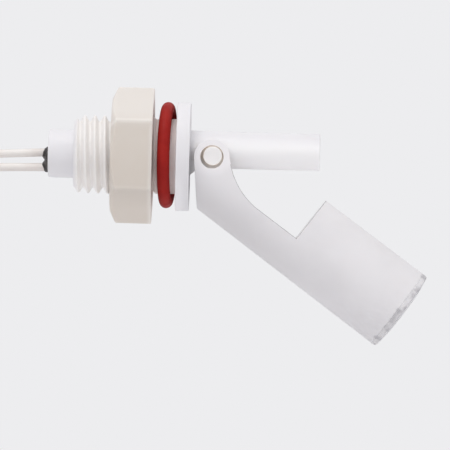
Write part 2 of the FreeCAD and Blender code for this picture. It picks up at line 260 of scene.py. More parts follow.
def skin(profile, turns, place, loop=False):
    """Closed mesh of one ring of points for each item of a profile."""
    mesh = bmesh.new()
    rings = [[mesh.verts.new(place(item, turn)) for turn in turns] for item in profile]
    pairs = list(zip(rings, rings[1:]))
    if loop:
        pairs.append((rings[-1], rings[0]))
    else:
        mesh.faces.new(rings[0])
        mesh.faces.new(rings[-1])
    count = len(turns)
    for ring, after in pairs:
        for k in range(count):
            following = (k + 1) % count
            mesh.faces.new((ring[k], ring[following], after[following], after[k]))
    bmesh.ops.recalc_face_normals(mesh, faces=mesh.faces)
    return mesh


def rounded(corners, steps=4):
    """Outline through (along, radius, fillet) corners, with an arc at each fillet."""
    outline = []
    for k, (along, radius, fillet) in enumerate(corners):
        corner = Vector((along, radius))
        if fillet == 0:
            outline.append((along, radius))
            continue
        back = (Vector(corners[k - 1][:2]) - corner).normalized()
        ahead = (Vector(corners[k + 1][:2]) - corner).normalized()
        half = back.angle(ahead) / 2
        centre = corner + (back + ahead).normalized() * (fillet / math.sin(half))
        start = corner + back * (fillet / math.tan(half)) - centre
        stop = corner + ahead * (fillet / math.tan(half)) - centre
        sweep = start.angle(stop)
        for step in range(steps + 1):
            part = sweep * step / steps
            spoke = start * math.sin(sweep - part) + stop * math.sin(part)
            outline.append(tuple(centre + spoke / math.sin(sweep)))
    return outline


def prism(points, half_width):
    """Outline of (X, Z) points thickened to both sides of the plane Y = 0."""
    mesh = bmesh.new()
    near = [mesh.verts.new((x, -half_width, z)) for x, z in points]
    far = [mesh.verts.new((x, half_width, z)) for x, z in points]
    mesh.faces.new(near)
    mesh.faces.new(far)
    for k in range(len(points)):
        following = (k + 1) % len(points)
        mesh.faces.new((near[k], near[following], far[following], far[k]))
    bmesh.ops.recalc_face_normals(mesh, faces=mesh.faces)
    return mesh


def as_object(mesh, name):
    data = bpy.data.meshes.new(name)
    mesh.to_mesh(data)
    mesh.free()
    return linked(name, data)


def combine(base, others, operation):
    """Adds to or cuts from the base object each of the others, which are used up."""
    for other in others:
        step = base.modifiers.new("combine", "BOOLEAN")
        step.operation = operation
        step.solver = "EXACT"
        step.object = other
    graph = bpy.context.evaluated_depsgraph_get()
    result = bpy.data.meshes.new_from_object(base.evaluated_get(graph))
    base.modifiers.clear()
    base.data = result
    for other in others:
        bpy.data.objects.remove(other)


def dress(piece, body, material, covers, sharp_deg=35):
    """Shades a rigid piece, gives it its material and ties it to the frame."""
    piece.data.materials.append(material)
    piece.data.shade_smooth()
    piece.data.set_sharp_from_angle(angle=math.radians(sharp_deg))
    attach(piece, body)
    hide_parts(*covers)
    return piece


def smooth_min(a, b, blend):
    near = max(blend - abs(a - b), 0) / blend
    return min(a, b) - near * near * blend / 4


def thread_radius(along, turn):
    """Surface of the external thread, with rounded crests and roots."""
    phase = ((along - crest_at_top) / thread_pitch - turn / (2 * math.pi)) % 1.0
    from_crest = 2 * min(phase, 1 - phase)
    ramp = (from_crest - crest_share) / (1 - crest_share - root_share)
    ramp = min(max(ramp, 0), 1)
    eased = ramp * ramp * (3 - 2 * ramp)
    return thread_r - thread_depth * (0.45 * ramp + 0.55 * eased)


def barrel_radius(along, turn):
    """Thread with its lead-in at the cable end and its run-out at the neck."""
    lead_in = lead_in_r + lead_in_slope * (along - barrel_end)
    radius = smooth_min(thread_radius(along, turn), lead_in, lead_in_blend)
    left = min((neck_start - along) / run_out, 1)
    return neck_r + (radius - neck_r) * left


def barrel_point(item, turn):
    along, radius = item
    if barrel_end < along < neck_start and radius > lead_in_r:
        radius = barrel_radius(along, turn)
    return on_x(along, radius, turn)


def make_body(material):
    """Body moulding: lathe-like barrel and stem, gusset and two trunnions, then its bores."""
    end_cover = 0.5 * mm
    profile = rounded([
        (cable_end, end_cover, 0),
        (cable_end, boss_r, 0.35 * mm),
        (barrel_end, boss_r, 0.2 * mm),
        (barrel_end, lead_in_r, 0),
    ])
    steps = round((neck_start - barrel_end) / thread_step)
    profile += [(barrel_end + k * thread_step, thread_r) for k in range(1, steps)]
    profile += rounded([
        (neck_start, neck_r, 0),
        (0, neck_r, 0.2 * mm),
        (0, flange_r, 0.22 * mm),
        (flange_thickness, flange_r, 0.22 * mm),
        (flange_thickness, end_cover, 0),
    ])
    body = as_object(skin(profile, full_turn(160), barrel_point), "body_moulding")

    stem_profile = rounded([
        (cable_bore_stop, end_cover, 0),
        (cable_bore_stop, stem_r, 0),
        (stem_tip, stem_r - stem_draft, 0.3 * mm),
        (stem_tip, end_cover, 0),
    ])
    stem = skin(stem_profile, full_turn(96), around(stem_rise))

    top = stem_rise - stem_r
    gusset = prism([
        (flange_thickness / 2, top - gusset_drop),
        (flange_thickness, top - gusset_drop),
        (flange_thickness + gusset_reach, top),
        (flange_thickness + gusset_reach, stem_rise),
        (flange_thickness / 2, stem_rise),
    ], gusset_half_width)

    trunnion_tip = math.sqrt(float_rear_r ** 2 - float_axis_drop ** 2) - trunnion_recess
    pin_profile = rounded([
        (trunnion_root, end_cover, 0),
        (trunnion_root, trunnion_r, 0),
        (trunnion_tip, trunnion_r, 0.28 * mm),
        (trunnion_tip, end_cover, 0),
    ], steps=5)

    def pin(side):
        def place(item, turn):
            along, radius = item
            return hinge + Vector((radius * math.sin(turn), side * along, radius * math.cos(turn)))
        return as_object(skin(pin_profile, full_turn(64), place), "pin")

    combine(body, [as_object(stem, "stem"), as_object(gusset, "gusset"), pin(-1), pin(1)], "UNION")

    def bore(radius, start, stop, height):
        profile = [(start, radius), (stop, radius)]
        return as_object(skin(profile, full_turn(64), around(height)), "bore")

    beyond = cable_end - 1 * mm
    combine(body, [
        bore(cable_bore_r, beyond, cable_bore_stop, 0),
        bore(stem_bore_r, 0, stem_bore_stop, stem_rise),
    ], "DIFFERENCE")
    dress(body, "switch_body", material, ["switch_body"])


def hexagon_turns():
    """Turns from the top, evenly spaced on each flat and closer round each corner."""
    per_flat = 24
    per_corner = 6
    corner = math.radians(30) - nut_flat_angle
    turns = []
    for side in range(6):
        middle = math.radians(30 + 60 * side)
        for k in range(per_flat):
            turns.append(middle + nut_flat_angle * (2 * k / per_flat - 1))
        for k in range(per_corner):
            turns.append(middle + nut_flat_angle + 2 * corner * k / per_corner)
    return turns


def hexagon_radius(turn):
    """Rounded hexagon with corners up and down."""
    off = abs((turn % math.radians(60)) - math.radians(30))
    if off <= nut_flat_angle:
        return nut_half_flats / math.cos(off)
    from_corner = math.radians(30) - off
    centre = nut_apex - nut_corner_round / math.cos(math.radians(30))
    inside = nut_corner_round ** 2 - (centre * math.sin(from_corner)) ** 2
    return centre * math.cos(from_corner) + math.sqrt(inside)


def nut_bore_radius(along, turn):
    from_end = min(along - nut_left, nut_right - along)
    lead_in = thread_r + thread_gap + (nut_lead_in - from_end) * nut_lead_in_slope
    return max(thread_radius(along, turn) + thread_gap, min(lead_in, thread_r + nut_lead_in_depth))


def make_nut(material):
    """Lock nut: a hexagon dressed by a cone on its cable side, with a threaded bore."""
    length = nut_right - nut_left
    plain = length - nut_edge - nut_dressed
    outside = [("left", share) for share in (0.0, 0.35, 0.7, 0.92, 1.0)]
    outside += [("side", nut_dressed * (k / 20) ** 1.3) for k in range(1, 21)]
    outside += [("side", nut_dressed + plain * k / 8) for k in range(1, 9)]
    outside += [("edge", math.radians(90) * k / 4) for k in range(1, 5)]
    outside += [("right", share) for share in (0.6, 0.3, 0.0)]
    steps = round(length / thread_step)
    outside += [("bore", length * (1 - k / steps)) for k in range(1, steps)]

    def place(item, turn):
        kind, value = item
        hexagon = hexagon_radius(turn)
        if kind == "left":
            inner = nut_bore_radius(nut_left, turn)
            return on_x(nut_left, inner + (nut_face_r - inner) * value, turn)
        if kind == "side":
            cone = nut_face_r + nut_cone_slope * value
            return on_x(nut_left + value, smooth_min(hexagon, cone, nut_edge_blend), turn)
        if kind == "edge":
            along = nut_right - nut_edge * (1 - math.sin(value))
            return on_x(along, hexagon - nut_edge * (1 - math.cos(value)), turn)
        if kind == "right":
            inner = nut_bore_radius(nut_right, turn)
            return on_x(nut_right, inner + (hexagon - nut_edge - inner) * value, turn)
        return on_x(nut_left + value, nut_bore_radius(nut_left + value, turn), turn)

    nut = as_object(skin(outside, hexagon_turns(), place, loop=True), "nut_moulding")
    dress(nut, "lock_nut", material, ["lock_nut"])


def make_ring(material):
    """Seal ring, loose on the neck and leaning a little."""
    lean = Matrix.Translation((ring_x, 0, ring_rise)) @ Matrix.Rotation(-ring_lean, 4, "Z")

    def place(angle, turn):
        radius = ring_mean_r + ring_section_r * math.sin(angle)
        return lean @ on_x(ring_section_r * math.cos(angle), radius, turn)

    ring = as_object(skin(full_turn(40), full_turn(144), place, loop=True), "ring_rubber")
    dress(ring, "switch_body", material, ["seal_ring"])


def round_edges(mesh, width, bored=0.0):
    """Rounds the sharp edges of a mesh, and gives the new faces the second material.

    Edges nearer than the bored radius to the line X = 0, Z = 0 stay sharp.
    """
    sharp = []
    for edge in mesh.edges:
        middle = (edge.verts[0].co + edge.verts[1].co) / 2
        if edge.calc_face_angle(0) > math.radians(30) and math.hypot(middle.x, middle.z) >= bored:
            sharp.append(edge)
    bmesh.ops.bevel(
        mesh, geom=sharp, offset=width, segments=3, profile=0.5, affect="EDGES", material=1,
    )


def arc(centre, radius, start_deg, stop_deg, steps):
    """Points along an arc in a plane of (X, Z) points."""
    points = []
    for k in range(steps + 1):
        angle = math.radians(start_deg + (stop_deg - start_deg) * k / steps)
        points.append(centre + radius * Vector((math.cos(angle), math.sin(angle))))
    return points


def float_outline():
    """Side view of the float: heel, cheek round, concave sweep, arm, step and top."""
    low = -12 * mm
    high = float_end_r
    hole = Vector((0, -hole_drop))
    sweep_z = sweep_r - arm_floor
    sweep_x = math.sqrt((sweep_r + cheek_r) ** 2 - (sweep_z + hole_drop) ** 2)
    sweep = Vector((sweep_x, sweep_z))
    join_deg = math.degrees(math.atan2(sweep_z + hole_drop, sweep_x))
    to_heel = heel - hole
    touch_angle = math.atan2(to_heel.y, to_heel.x) - math.acos(cheek_r / to_heel.length)
    touch = hole + cheek_r * Vector((math.cos(touch_angle), math.sin(touch_angle)))
    foot = heel + (heel - touch) * ((heel.y - low) / (touch.y - heel.y))
    cheek = arc(hole, cheek_r, math.degrees(touch_angle) + 360, join_deg, 48)
    concave = arc(sweep, sweep_r, 180 + join_deg, 270, 32)
    rest = [
        (step_out, -arm_floor),
        (step_out + step_lean, high),
        (cap_start, high),
        (cap_start, low),
    ]
    return [foot] + cheek + concave[1:] + rest, sweep_x


def stop_relief():
    """Room under the slot for the stem and its gusset when the float hangs, with the stop face."""
    pivot_out = hinge.x - flange_thickness
    under_stem = stem_rise - stem_r - hinge.z
    face = Vector((gusset_reach, gusset_drop)).normalized()
    away = Vector((face.y, -face.x))
    on_stop = Vector((-pivot_out, under_stem - gusset_drop)) + away * stop_gap
    top = under_stem - stem_gap
    meet = on_stop + face * ((top - on_stop.y) / face.y)
    far = on_stop - face * (2 * gusset_drop)
    relief = prism([
        (cheek_r, 0),
        (cheek_r, top),
        (meet.x, top),
        (far.x, far.y),
        (far.x - pivot_out, far.y),
        (far.x - pivot_out, 0),
    ], slot_half_width)
    bmesh.ops.rotate(relief, verts=relief.verts, cent=(0, 0, 0), matrix=Matrix.Rotation(-hang, 3, "Y"))
    return relief


def straighten_normals(data):
    """Gives the float's round surface its own normals, which long thin faces would bend."""
    surface_share = 0.97
    same_way = 0.999
    to_own = float_frame.inverted()
    to_world = float_frame.to_3x3()

    def spoke(point):
        own = to_own @ point
        return Vector((0, own.y, own.z + float_axis_drop))

    normals = [Vector((0, 0, 0))] * len(data.loops)
    for face in data.polygons:
        outwards = spoke(face.center)
        on_surface = outwards.length > surface_share * float_rear_r
        if on_surface and face.normal.dot(to_world @ outwards.normalized()) > same_way:
            for loop in face.loop_indices:
                place = data.vertices[data.loops[loop].vertex_index].co
                normals[loop] = to_world @ spoke(place).normalized()
    data.normals_split_custom_set(normals)


def make_float_shell(material, edge_shade):
    """Float shell, with a fine grey line of painted shade along the edges of its recess."""
    start = -2 * cheek_r
    rings = 8
    beyond = 10 * mm
    overlap = 1 * mm
    merge_reach = 0.07 * mm
    edge_round = 0.11 * mm
    edge_shade_start = 4 * mm
    edge_shade_end = 24 * mm
    edge_shade_floor = -3.2 * mm
    stations = [start + (cap_start - start) * k / rings for k in range(rings + 1)]
    tapered = [(along, float_rear_r + float_taper * along) for along in stations]

    def turned(profile, steps, height, name):
        return as_object(skin(profile, full_turn(steps), around(height)), name)

    def across(item, turn):
        along, radius = item
        return Vector((radius * math.sin(turn), along, radius * math.cos(turn) - hole_drop))

    shell = turned(tapered, 192, -float_axis_drop, "float_moulding")
    outline, sweep_end = float_outline()
    combine(shell, [as_object(prism(outline, beyond), "side")], "INTERSECT")

    slot = prism([
        (start, -arm_floor), (sweep_end, -arm_floor), (sweep_end, float_end_r), (start, float_end_r),
    ], slot_half_width)
    hole = skin([(-beyond, hole_r), (beyond, hole_r)], full_turn(72), across)
    chamber = [(chamber_start, chamber_r), (cap_start + overlap, chamber_r)]
    pocket = [(pocket_start, pocket_r), (chamber_start + overlap, pocket_r)]
    combine(shell, [
        as_object(slot, "slot"),
        as_object(stop_relief(), "relief"),
        as_object(hole, "hole"),
        turned(chamber, 96, -float_axis_drop, "chamber"),
        turned(pocket, 48, pocket_height, "pocket"),
    ], "DIFFERENCE")

    mesh = bmesh.new()
    mesh.from_mesh(shell.data)
    bmesh.ops.remove_doubles(mesh, verts=mesh.verts, dist=merge_reach)
    round_edges(mesh, edge_round, bored=hole_r + 2 * hole_drop)
    # Painted shade: only the rounded edges of the recess keep the grey second material.
    for face in mesh.faces:
        middle = face.calc_center_median()
        past_cheek = Vector((middle.x, middle.z)).length > edge_shade_start
        if not (past_cheek and 0 < middle.x < edge_shade_end and middle.z > edge_shade_floor):
            face.material_index = 0
    bmesh.ops.transform(mesh, matrix=float_frame, verts=mesh.verts)
    mesh.to_mesh(shell.data)
    mesh.free()
    dress(shell, "float", material, ["float_shell"])
    shell.data.materials.append(edge_shade)
    straighten_normals(shell.data)


def make_float_cap(material):
    """Welded end cap, with a rough and uneven seam round its rim."""
    rim = float_end_r - 0.02 * mm
    seat = cap_start - 0.14 * mm
    rough_band = 0.6 * mm
    rough_depth = 0.1 * mm
    rough_swell = 0.009
    profile = rounded([
        (spigot_start, 1.0 * mm, 0),
        (spigot_start, spigot_r, 0.1 * mm),
        (seat, spigot_r, 0),
        (seat, rim - 0.1 * mm, 0),
        (cap_start + 0.1 * mm, rim + 0.05 * mm, 0.1 * mm),
        (float_length - 0.05 * mm, rim - 0.02 * mm, 0.3 * mm),
        (float_length + cap_crown, rim - cap_slope, 1.0 * mm),
        (float_length + cap_crown, 0.5 * mm, 0),
    ], steps=5)

    def place(item, turn):
        along, radius = item
        point = on_x(along, radius, turn, -float_axis_drop)
        if radius > rim - rough_band:
            rough = noise.noise(point / (1.8 * mm)) + 0.4 * noise.noise(point / (0.7 * mm))
            swell = 1 + rough_swell * rough
            point = Vector((point.x + rough_depth * rough, point.y * swell, point.z * swell))
        return float_frame @ point

    cap = as_object(skin(profile, full_turn(240), place), "cap_moulding")
    dress(cap, "float", material, ["float_end_cap"])


def make_potting(material):
    """Cast resin, flush in the bore with a mound that wicks up both leads."""
    depth = 14.0 * mm
    mound_r = 2.75 * mm
    mound_height = 0.85 * mm
    wick_height = 0.65 * mm
    wick_r = 1.5 * mm
    ripple_height = 0.12 * mm
    middle = (exit_upper + exit_lower) / 2

    def height(y, z):
        away = Vector((y, z - middle.z)).length / mound_r
        mound = mound_height * max(1 - away ** 3, 0) if away < 1 else 0
        for lead_exit in (exit_upper, exit_lower):
            near = Vector((y, z - lead_exit.z)).length / wick_r
            mound += wick_height * max(1 - near * near, 0)
        ripple = noise.noise(Vector((y, 0, z)) / (0.7 * mm))
        return mound + ripple_height * ripple * min(mound / mound_height, 1)

    reach = [cable_bore_r * share for share in (1.0, 0.98)]
    reach += [cable_bore_r * (1 - k / 40) for k in range(2, 40)]
    profile = [("back", cable_bore_r - 0.3 * mm), ("back", cable_bore_r)]
    profile += [("front", radius) for radius in reach]

    def place(item, turn):
        kind, radius = item
        point = on_x(cable_end, radius, turn)
        if kind == "back":
            point.x = cable_end + depth
            return point
        point.x -= height(point.y, point.z)
        return point

    resin = as_object(skin(profile, full_turn(120), place), "resin_plug")
    dress(resin, "switch_body", material, ["potting"], sharp_deg=60)


def make_tinned_end(name, side, covers, material):
    """Bare strands, twisted and tinned together."""
    top = coil_z - tail_length
    strands = 7
    groove = 0.18
    twist = math.radians(60) / mm
    profile = [(k / 40, core_r) for k in range(41)]
    profile = [(0.0, 0.3 * core_r)] + profile + [(1.0, 0.3 * core_r)]

    def place(item, turn):
        share, radius = item
        down = tinned_length * share
        lobe = abs(math.cos(strands / 2 * (turn + twist * down)))
        if radius == core_r:
            radius *= 1 - groove + groove * lobe
        return Vector((
            coil_x - outer_turn_r + radius * math.cos(turn),
            side * far_layer + radius * math.sin(turn),
            top - down,
        ))

    end = as_object(skin(profile, full_turn(56), place), name)
    return dress(end, "switch_body", material, covers, sharp_deg=50)


def make_tie(material):
    """Nylon band round the coil, with its edges rounded."""
    mesh = bmesh.new()
    mesh.from_mesh(nodes["coil_tie"].data)
    bmesh.ops.remove_doubles(mesh, verts=mesh.verts, dist=0.001 * mm)
    bmesh.ops.dissolve_limit(
        mesh, angle_limit=math.radians(0.2), verts=mesh.verts, edges=mesh.edges,
    )
    round_edges(mesh, 0.08 * mm)
    tie = as_object(mesh, "tie_band")
    dress(tie, "switch_body", material, ["coil_tie"])
    for face in tie.data.polygons:
        face.material_index = 0


# Materials

def new_material(name, colour, roughness, **sockets):
    """Principled material with plain values, to which detail is then added."""
    made = bpy.data.materials.new(name)
    made.use_nodes = True
    made.diffuse_color = (*colour, 1)
    shader = made.node_tree.nodes["Principled BSDF"]
    shader.inputs["Base Color"].default_value = (*colour, 1)
    shader.inputs["Roughness"].default_value = roughness
    shader.inputs["Subsurface Radius"].default_value = (1.0, 0.95, 0.9)
    for key, value in sockets.items():
        shader.inputs[key.replace("_", " ")].default_value = value
    return made


def add(tree, kind, **settings):
    node = tree.nodes.new(kind)
    for key, value in settings.items():
        if key in node.bl_rna.properties:
            setattr(node, key, value)
        else:
            node.inputs[key.replace("_", " ")].default_value = value
    return node


def object_place(tree):
    return add(tree, "ShaderNodeTexCoord").outputs["Object"]


def split(tree, place):
    """The X, Y and Z outputs of a place."""
    parts = add(tree, "ShaderNodeSeparateXYZ")
    tree.links.new(place, parts.inputs["Vector"])
    return parts.outputs


def object_noise(tree, size, detail=3.0, place=None):
    """Noise whose features are about that size in metres."""
    if place is None:
        place = object_place(tree)
    made = add(tree, "ShaderNodeTexNoise", Scale=1 / size, Detail=detail)
    tree.links.new(place, made.inputs["Vector"])
    return made.outputs["Fac"]


def ranged(tree, value, low, high, to_low, to_high):
    made = add(tree, "ShaderNodeMapRange", interpolation_type="SMOOTHSTEP")
    for key, number in (("From Min", low), ("From Max", high), ("To Min", to_low), ("To Max", to_high)):
        made.inputs[key].default_value = number
    tree.links.new(value, made.inputs["Value"])
    return made.outputs["Result"]


def mixed(tree, factor, first, second):
    """Colour between two, each a tuple or another node's output."""
    made = add(tree, "ShaderNodeMix", data_type="RGBA")
    for socket, value in ((made.inputs[6], first), (made.inputs[7], second)):
        if isinstance(value, tuple):
            socket.default_value = (*value, 1)
        else:
            tree.links.new(value, socket)
    tree.links.new(factor, made.inputs[0])
    return made.outputs[2]


def bumped(tree, shader, layers):
    """Bump from (height output, depth in metres) layers."""
    normal = None
    for height, depth in layers:
        bump = add(tree, "ShaderNodeBump", Strength=1.0, Distance=depth)
        tree.links.new(height, bump.inputs["Height"])
        if normal is not None:
            tree.links.new(normal, bump.inputs["Normal"])
        normal = bump.outputs["Normal"]
    tree.links.new(normal, shader.inputs["Normal"])


def finish_surface(made, pale, deep, patch, rough, grain, grain_depth, wave_depth):
    """Colour drift, uneven gloss and fine grain, as on a moulded or drawn surface."""
    tree = made.node_tree
    shader = tree.nodes["Principled BSDF"]
    drift = ranged(tree, object_noise(tree, patch), 0.35, 0.65, 0, 1)
    colour = mixed(tree, drift, pale, deep)
    tree.links.new(colour, shader.inputs["Base Color"])
    gloss = ranged(tree, object_noise(tree, patch / 3), 0.3, 0.7, *rough)
    tree.links.new(gloss, shader.inputs["Roughness"])
    fine = object_noise(tree, grain, 4.0)
    broad = object_noise(tree, patch * 0.8, 2.0)
    bumped(tree, shader, [(broad, wave_depth), (fine, grain_depth)])
    return colour


def vector_length(tree, vector):
    reach = add(tree, "ShaderNodeVectorMath", operation="LENGTH")
    tree.links.new(vector, reach.inputs[0])
    return reach.outputs["Value"]


def axis_distance(tree, centre, keep, place=None):
    """Distance in metres from a point, measured along the axes that are kept."""
    if place is None:
        place = object_place(tree)
    moved = add(tree, "ShaderNodeVectorMath", operation="SUBTRACT")
    tree.links.new(place, moved.inputs[0])
    moved.inputs[1].default_value = centre
    flat = add(tree, "ShaderNodeVectorMath", operation="MULTIPLY")
    tree.links.new(moved.outputs[0], flat.inputs[0])
    flat.inputs[1].default_value = keep
    return vector_length(tree, flat.outputs[0])


def band(tree, along, inner, outer):
    """1 up to the inner distance from a place on the X axis, and 0 from the outer one."""
    return ranged(tree, axis_distance(tree, (along, 0, 0), (1, 0, 0)), inner, outer, 1, 0)


def both(tree, first, second, operation="MULTIPLY"):
    made = add(tree, "ShaderNodeMath", operation=operation)
    tree.links.new(first, made.inputs[0])
    tree.links.new(second, made.inputs[1])
    return made.outputs[0]


# Painted light: the warm tint of the gap round a hinge pin, which also colours the painted glow there.
gap_glow_tint = (0.88, 0.82, 0.76)


def gap_light(tree, gap):
    """Painted glow in the gap round a hinge pin, stronger on the upper side, which lets light through
    best.
    """
    height = split(tree, object_place(tree))["Z"]
    return both(tree, gap, ranged(tree, height, hinge.z - 0.2 * mm, hinge.z + 1.7 * mm, 0.02, 0.06))


def painted_shine_through(tree, colour, amounts):
    """Painted glow standing in for light that comes through thin plastic, from (mask output, strength)
    pairs.
    """
    shader = tree.nodes["Principled BSDF"]
    total = None
    for mask, strength in amounts:
        part = add(tree, "ShaderNodeMath", operation="MULTIPLY")
        tree.links.new(mask, part.inputs[0])
        part.inputs[1].default_value = strength
        total = part.outputs[0] if total is None else both(tree, total, part.outputs[0], "ADD")
    tree.links.new(colour, shader.inputs["Base Color"])
    tree.links.new(colour, shader.inputs["Emission Color"])
    tree.links.new(total, shader.inputs["Emission Strength"])


def body_plastic():
    """White moulding with painted light: paler along the stem below its top and in the thread, where
    the plastic is thin, a painted glow low on the stem and on the barrel, painted red reflection of the
    seal ring beside it, and a painted warm glow in the gap round each hinge pin.
    """
    dull = (0.80, 0.79, 0.81)
    made = new_material(
        "body_plastic", dull, 0.45,
        Subsurface_Weight=0.3, Subsurface_Scale=0.5 * mm, Specular_IOR_Level=0.35,
    )
    tree = made.node_tree
    colour = finish_surface(
        made, dull, (0.78, 0.77, 0.79), patch=9 * mm, rough=(0.42, 0.55),
        grain=0.25 * mm, grain_depth=0.003 * mm, wave_depth=0.02 * mm,
    )
    thread_middle = (barrel_end + neck_start) / 2
    stem = band(tree, stem_tip, 25.0 * mm, 26.2 * mm)
    thread = band(tree, thread_middle, 7.6 * mm, 8.6 * mm)
    barrel = band(tree, thread_middle, 13.0 * mm, 14.5 * mm)
    neck_red_reflection = band(tree, -1.3 * mm, 1.1 * mm, 1.3 * mm)
    strip_red_reflection = band(tree, -3.9 * mm, 0.9 * mm, 1.3 * mm)
    height = split(tree, object_place(tree))["Z"]
    under_top = ranged(tree, height, stem_rise, stem_rise + 3.0 * mm, 1, 0)
    # Painted light: the stem is painted paler below its top.
    colour = mixed(tree, both(tree, stem, under_top), colour, (0.965, 0.955, 0.96))
    # Painted light: the thread is painted paler, against the shade in its grooves.
    colour = mixed(tree, thread, colour, (0.86, 0.838, 0.822))
    # Painted reflection: pink tints on the neck beside the ring and on the strip between nut and ring
    # stand in for red light from the seal ring.
    colour = mixed(tree, neck_red_reflection, colour, (0.88, 0.82, 0.795))
    colour = mixed(tree, strip_red_reflection, colour, (0.90, 0.82, 0.785))
    from_hinge = axis_distance(tree, hinge, (1, 0, 1))
    pin = ranged(tree, from_hinge, hole_r - 0.05 * mm, hole_r + 0.15 * mm, 1, 0)
    pin_face = ranged(tree, from_hinge, trunnion_r - 0.10 * mm, trunnion_r - 0.02 * mm, 1, 0)
    # Painted light: a warm tint on the pin's side in the gap, where the painted glow is added.
    colour = mixed(tree, pin, colour, gap_glow_tint)
    colour = mixed(tree, pin_face, colour, (0.85, 0.835, 0.83))
    gap = both(tree, pin, pin_face, "SUBTRACT")
    # Painted glow: the gap round each pin, the stem's lower part and the barrel's lower side glow a
    # little.
    painted_shine_through(tree, colour, [
        (gap_light(tree, gap), 1.0),
        (both(tree, stem, ranged(tree, height, -2.2 * mm, 1.2 * mm, 1, 0)), 0.06),
        (both(tree, barrel, ranged(tree, height, -6.5 * mm, -2.0 * mm, 1, 0)), 0.08),
    ])
    return made


def weld_stains_and_painted_light(made, colour, stain, amount):
    """Uneven grey stains on both sides of the float's weld, strongest at the seam, and painted light:
    painted shade low on the float near its arm, a painted warm glow in the gap round the hinge hole and
    a painted glow on the cheek.
    """
    tree = made.node_tree
    mapping = add(tree, "ShaderNodeMapping", vector_type="TEXTURE")
    mapping.inputs["Location"].default_value = hinge
    mapping.inputs["Rotation"].default_value = (0, hang, 0)
    tree.links.new(object_place(tree), mapping.inputs["Vector"])
    own = mapping.outputs["Vector"]
    parts = split(tree, own)
    near = ranged(tree, parts["X"], cap_start - 2.2 * mm, cap_start, 0, 1)
    from_axis = axis_distance(tree, (0, 0, -float_axis_drop), (0, 1, 1), own)
    rim = ranged(tree, from_axis, float_end_r - 2.4 * mm, float_end_r - 0.8 * mm, 0, 1)
    uneven = object_noise(tree, 2.6 * mm, 5.0, own)
    patches = ranged(tree, both(tree, uneven, both(tree, near, rim), "ADD"), 1.45, 1.66, 0, amount)
    # Painted shade: the float's lower side, nearer the arm, is painted darker.
    painted_shade_near_arm = both(
        tree,
        ranged(tree, parts["Z"], -9.0 * mm, -arm_floor, 1, 0),
        ranged(tree, parts["X"], 10.0 * mm, 38.0 * mm, 1, 0),
    )
    colour = mixed(tree, painted_shade_near_arm, colour, (0.715, 0.70, 0.71))
    colour = mixed(tree, patches, colour, stain)
    # Painted light: a warm tint on the hole wall, which also colours the painted glow in the gap round
    # the pin.
    hole_centre = float_frame @ Vector((0, 0, -hole_drop))
    gap = ranged(tree, axis_distance(tree, hole_centre, (1, 0, 1)), hole_r, hole_r + 0.06 * mm, 1, 0)
    colour = mixed(tree, gap, colour, gap_glow_tint)
    # Painted glow on the cheek round the hinge hole.
    cheek = ranged(tree, axis_distance(tree, hinge, (1, 0, 1)), 3.0 * mm, 4.6 * mm, 1, 0)
    painted_shine_through(tree, colour, [(gap_light(tree, gap), 1.0), (cheek, 0.06)])


def float_plastic(name, pale, deep, amount):
    made = new_material(
        name, pale, 0.45,
        Subsurface_Weight=0.3, Subsurface_Scale=0.5 * mm, Specular_IOR_Level=0.35,
    )
    colour = finish_surface(
        made, pale, deep, patch=11 * mm, rough=(0.42, 0.55),
        grain=0.25 * mm, grain_depth=0.003 * mm, wave_depth=0.03 * mm,
    )
    weld_stains_and_painted_light(made, colour, (0.50, 0.49, 0.51), amount)
    return made


def ivory_nylon():
    made = new_material(
        "ivory_nylon", (0.68, 0.62, 0.55), 0.42,
        Subsurface_Weight=0.4, Subsurface_Scale=0.8 * mm, Specular_IOR_Level=0.45,
    )
    tree = made.node_tree
    colour = finish_surface(
        made, (0.70, 0.645, 0.585), (0.685, 0.625, 0.56), patch=9 * mm, rough=(0.40, 0.52),
        grain=0.2 * mm, grain_depth=0.003 * mm, wave_depth=0.03 * mm,
    )
    place = split(tree, object_place(tree))
    # Painted highlight: the hexagon's rounded corners are painted paler.
    turn = both(tree, place["Y"], place["Z"], "ARCTAN2")
    off = add(tree, "ShaderNodeMath", operation="PINGPONG")
    tree.links.new(turn, off.inputs[0])
    off.inputs[1].default_value = math.radians(30)
    corner = ranged(tree, off.outputs[0], math.radians(1.0), math.radians(3.4), 0.75, 0)
    colour = mixed(tree, corner, colour, (0.80, 0.76, 0.71))
    # Painted shade: the nut is painted darker towards its bottom.
    low = ranged(tree, place["Z"], -7.0 * mm, 5.0 * mm, 0.7, 0)
    colour = mixed(tree, low, colour, (0.645, 0.585, 0.525))
    # Painted light: the nut's top and the right end of its sides are painted paler.
    painted_light_top = ranged(tree, place["Z"], 4.0 * mm, 9.0 * mm, 0, 0.7)
    painted_light_right_end = ranged(tree, place["X"], nut_right - 1.1 * mm, nut_right - nut_edge, 0, 0.5)
    colour = mixed(tree, both(tree, painted_light_top, painted_light_right_end, "MAXIMUM"), colour, (0.77, 0.735, 0.70))
    # Painted glow on the nut's bottom facet.
    painted_shine_through(tree, colour, [(ranged(tree, place["Z"], -11.5 * mm, -6.0 * mm, 1, 0), 0.09)])
    return made


def red_rubber():
    made = new_material("red_rubber", (0.32, 0.014, 0.011), 0.6, Specular_IOR_Level=0.12)
    finish_surface(
        made, (0.34, 0.016, 0.012), (0.29, 0.012, 0.010), patch=4 * mm, rough=(0.48, 0.65),
        grain=0.15 * mm, grain_depth=0.006 * mm, wave_depth=0.02 * mm,
    )
    return made


def black_resin():
    made = new_material("black_resin", (0.02, 0.017, 0.017), 0.3)
    finish_surface(
        made, (0.030, 0.024, 0.024), (0.012, 0.010, 0.010), patch=1.2 * mm, rough=(0.2, 0.5),
        grain=0.15 * mm, grain_depth=0.02 * mm, wave_depth=0.08 * mm,
    )
    return made


